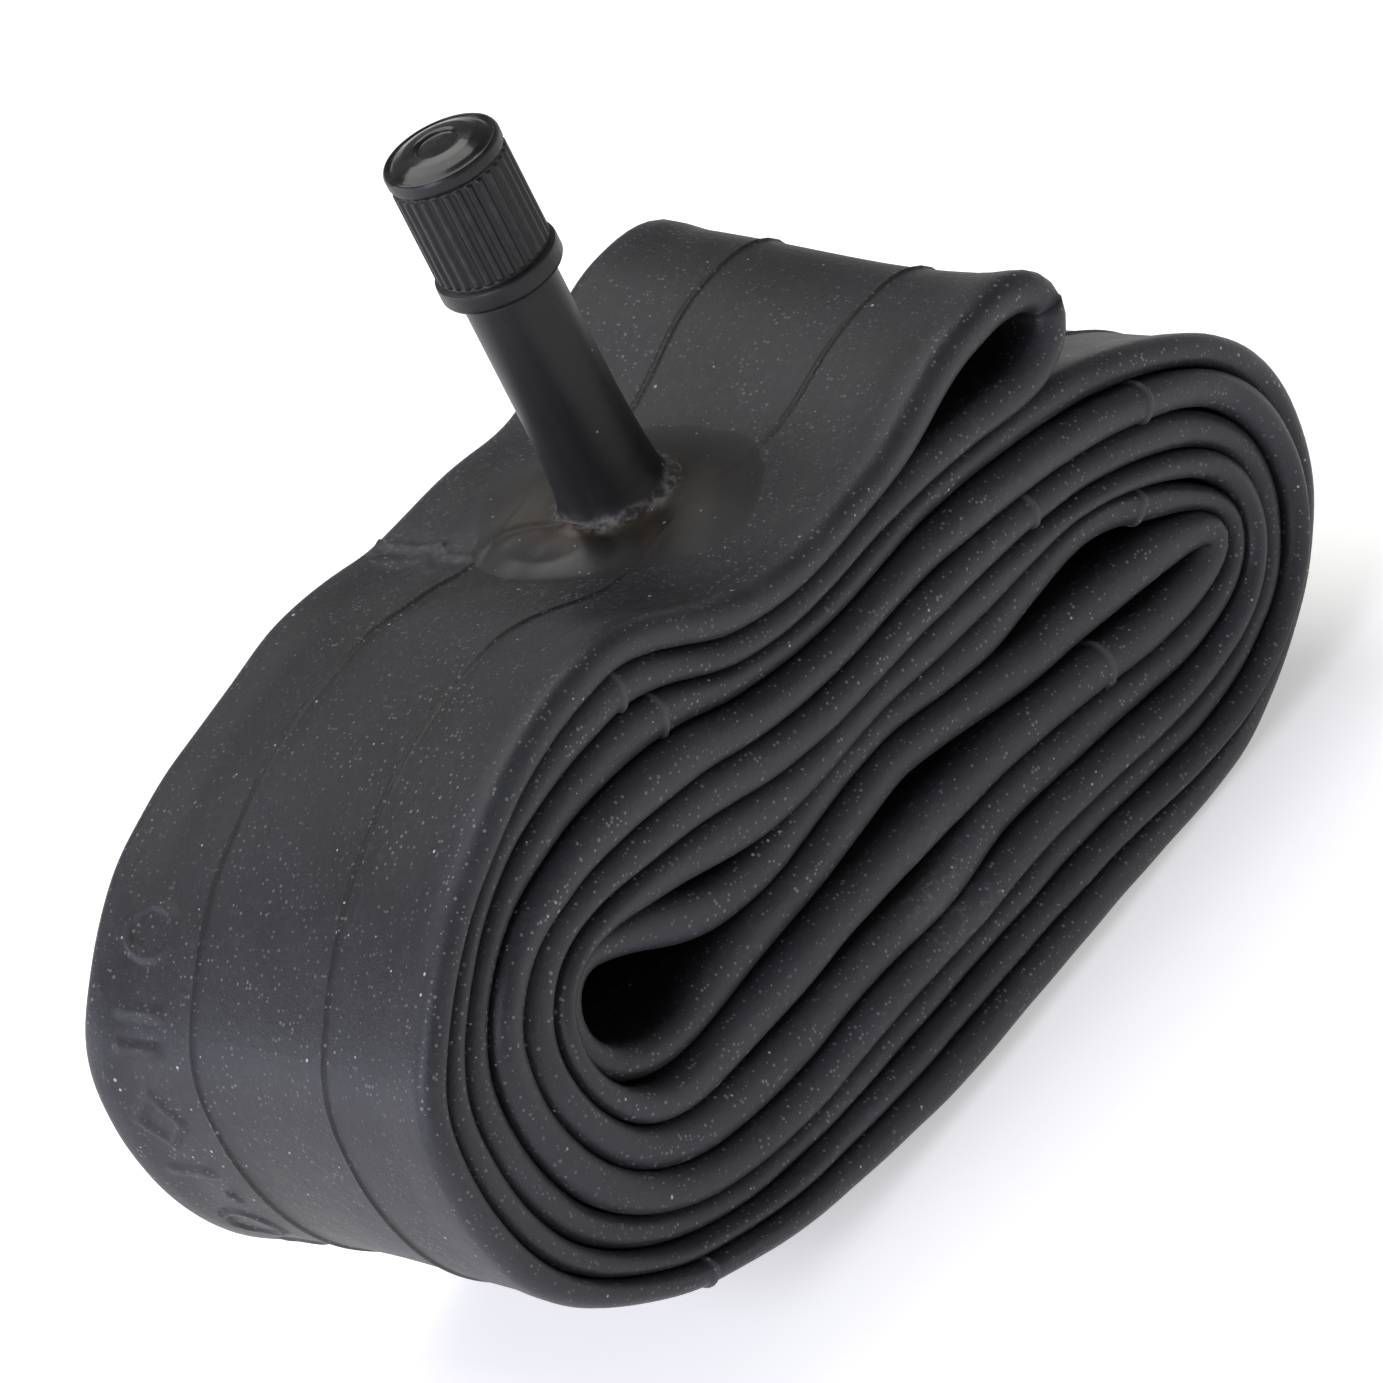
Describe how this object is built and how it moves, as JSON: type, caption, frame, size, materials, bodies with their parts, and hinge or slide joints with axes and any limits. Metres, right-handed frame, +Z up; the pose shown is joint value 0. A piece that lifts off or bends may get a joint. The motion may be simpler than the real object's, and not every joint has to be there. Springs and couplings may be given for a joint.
{
  "type": "bicycle inner tube",
  "caption": "Bicycle inner tube of black butyl rubber, flattened and rolled into an oblong bundle, with a rubber-covered stem, spring-loaded valve core and ribbed screw cap.",
  "frame": {"origin": "middle of the bundle's footprint, on the surface that it stands on", "axes": "+Z up along the valve, X along the bundle, Y across the flattened tube"},
  "size_m": [0.1172, 0.043, 0.0911],
  "materials": {
    "butyl": "matt, dusted with talc",
    "patch_rubber": "satin, faintly brown",
    "stem_rubber": "satin",
    "seal_rubber": "matt",
    "cap_plastic": "semi-gloss",
    "brass": "machined",
    "steel": "drawn wire"
  },
  "bodies": {
    "root": {"butyl_tube": "butyl", "valve_patch": "patch_rubber", "stem_jacket": "stem_rubber", "stem_insert": "brass"},
    "cap_liner": {"cap_seal": "seal_rubber"},
    "cap": {"cap_shell": "cap_plastic"},
    "core": {"core_barrel": "brass", "core_gasket": "seal_rubber", "core_spring": "steel"},
    "plug": {"core_plug": "brass"},
    "pin": {"core_pin": "steel", "seat_cup": "brass", "seat_seal": "seal_rubber"}
  },
  "joints": [
    {"name": "cap_lift", "type": "slide", "parent": "root", "child": "cap_liner", "axis": [0, 0, 1], "range_m": [0, 0.01191]},
    {"name": "cap_turn", "type": "hinge", "parent": "cap_liner", "child": "cap", "pos_m": [0.0022, 0, 0.07737], "axis": [0, 0, 1], "range_deg": [0, 5401]},
    {"name": "core_lift", "type": "slide", "parent": "root", "child": "core", "axis": [0, 0, 1], "range_m": [0, 0.0003528]},
    {"name": "core_turn", "type": "hinge", "parent": "core", "child": "plug", "pos_m": [0.0022, 0, 0.08577], "axis": [0, 0, 1], "range_deg": [0, 181]},
    {"name": "pin_press", "type": "slide", "parent": "core", "child": "pin", "axis": [0, 0, -1], "range_m": [0, 0.0012], "stiffness_N_per_m": 2500, "springref_m": -0.001, "deforming": ["core_spring"]}
  ],
  "couplings": [
    {"joint": "cap_turn", "follows": "cap_lift", "rad_per_m": 7913.3},
    {"joint": "core_turn", "follows": "core_lift", "rad_per_m": 8904.7}
  ]
}
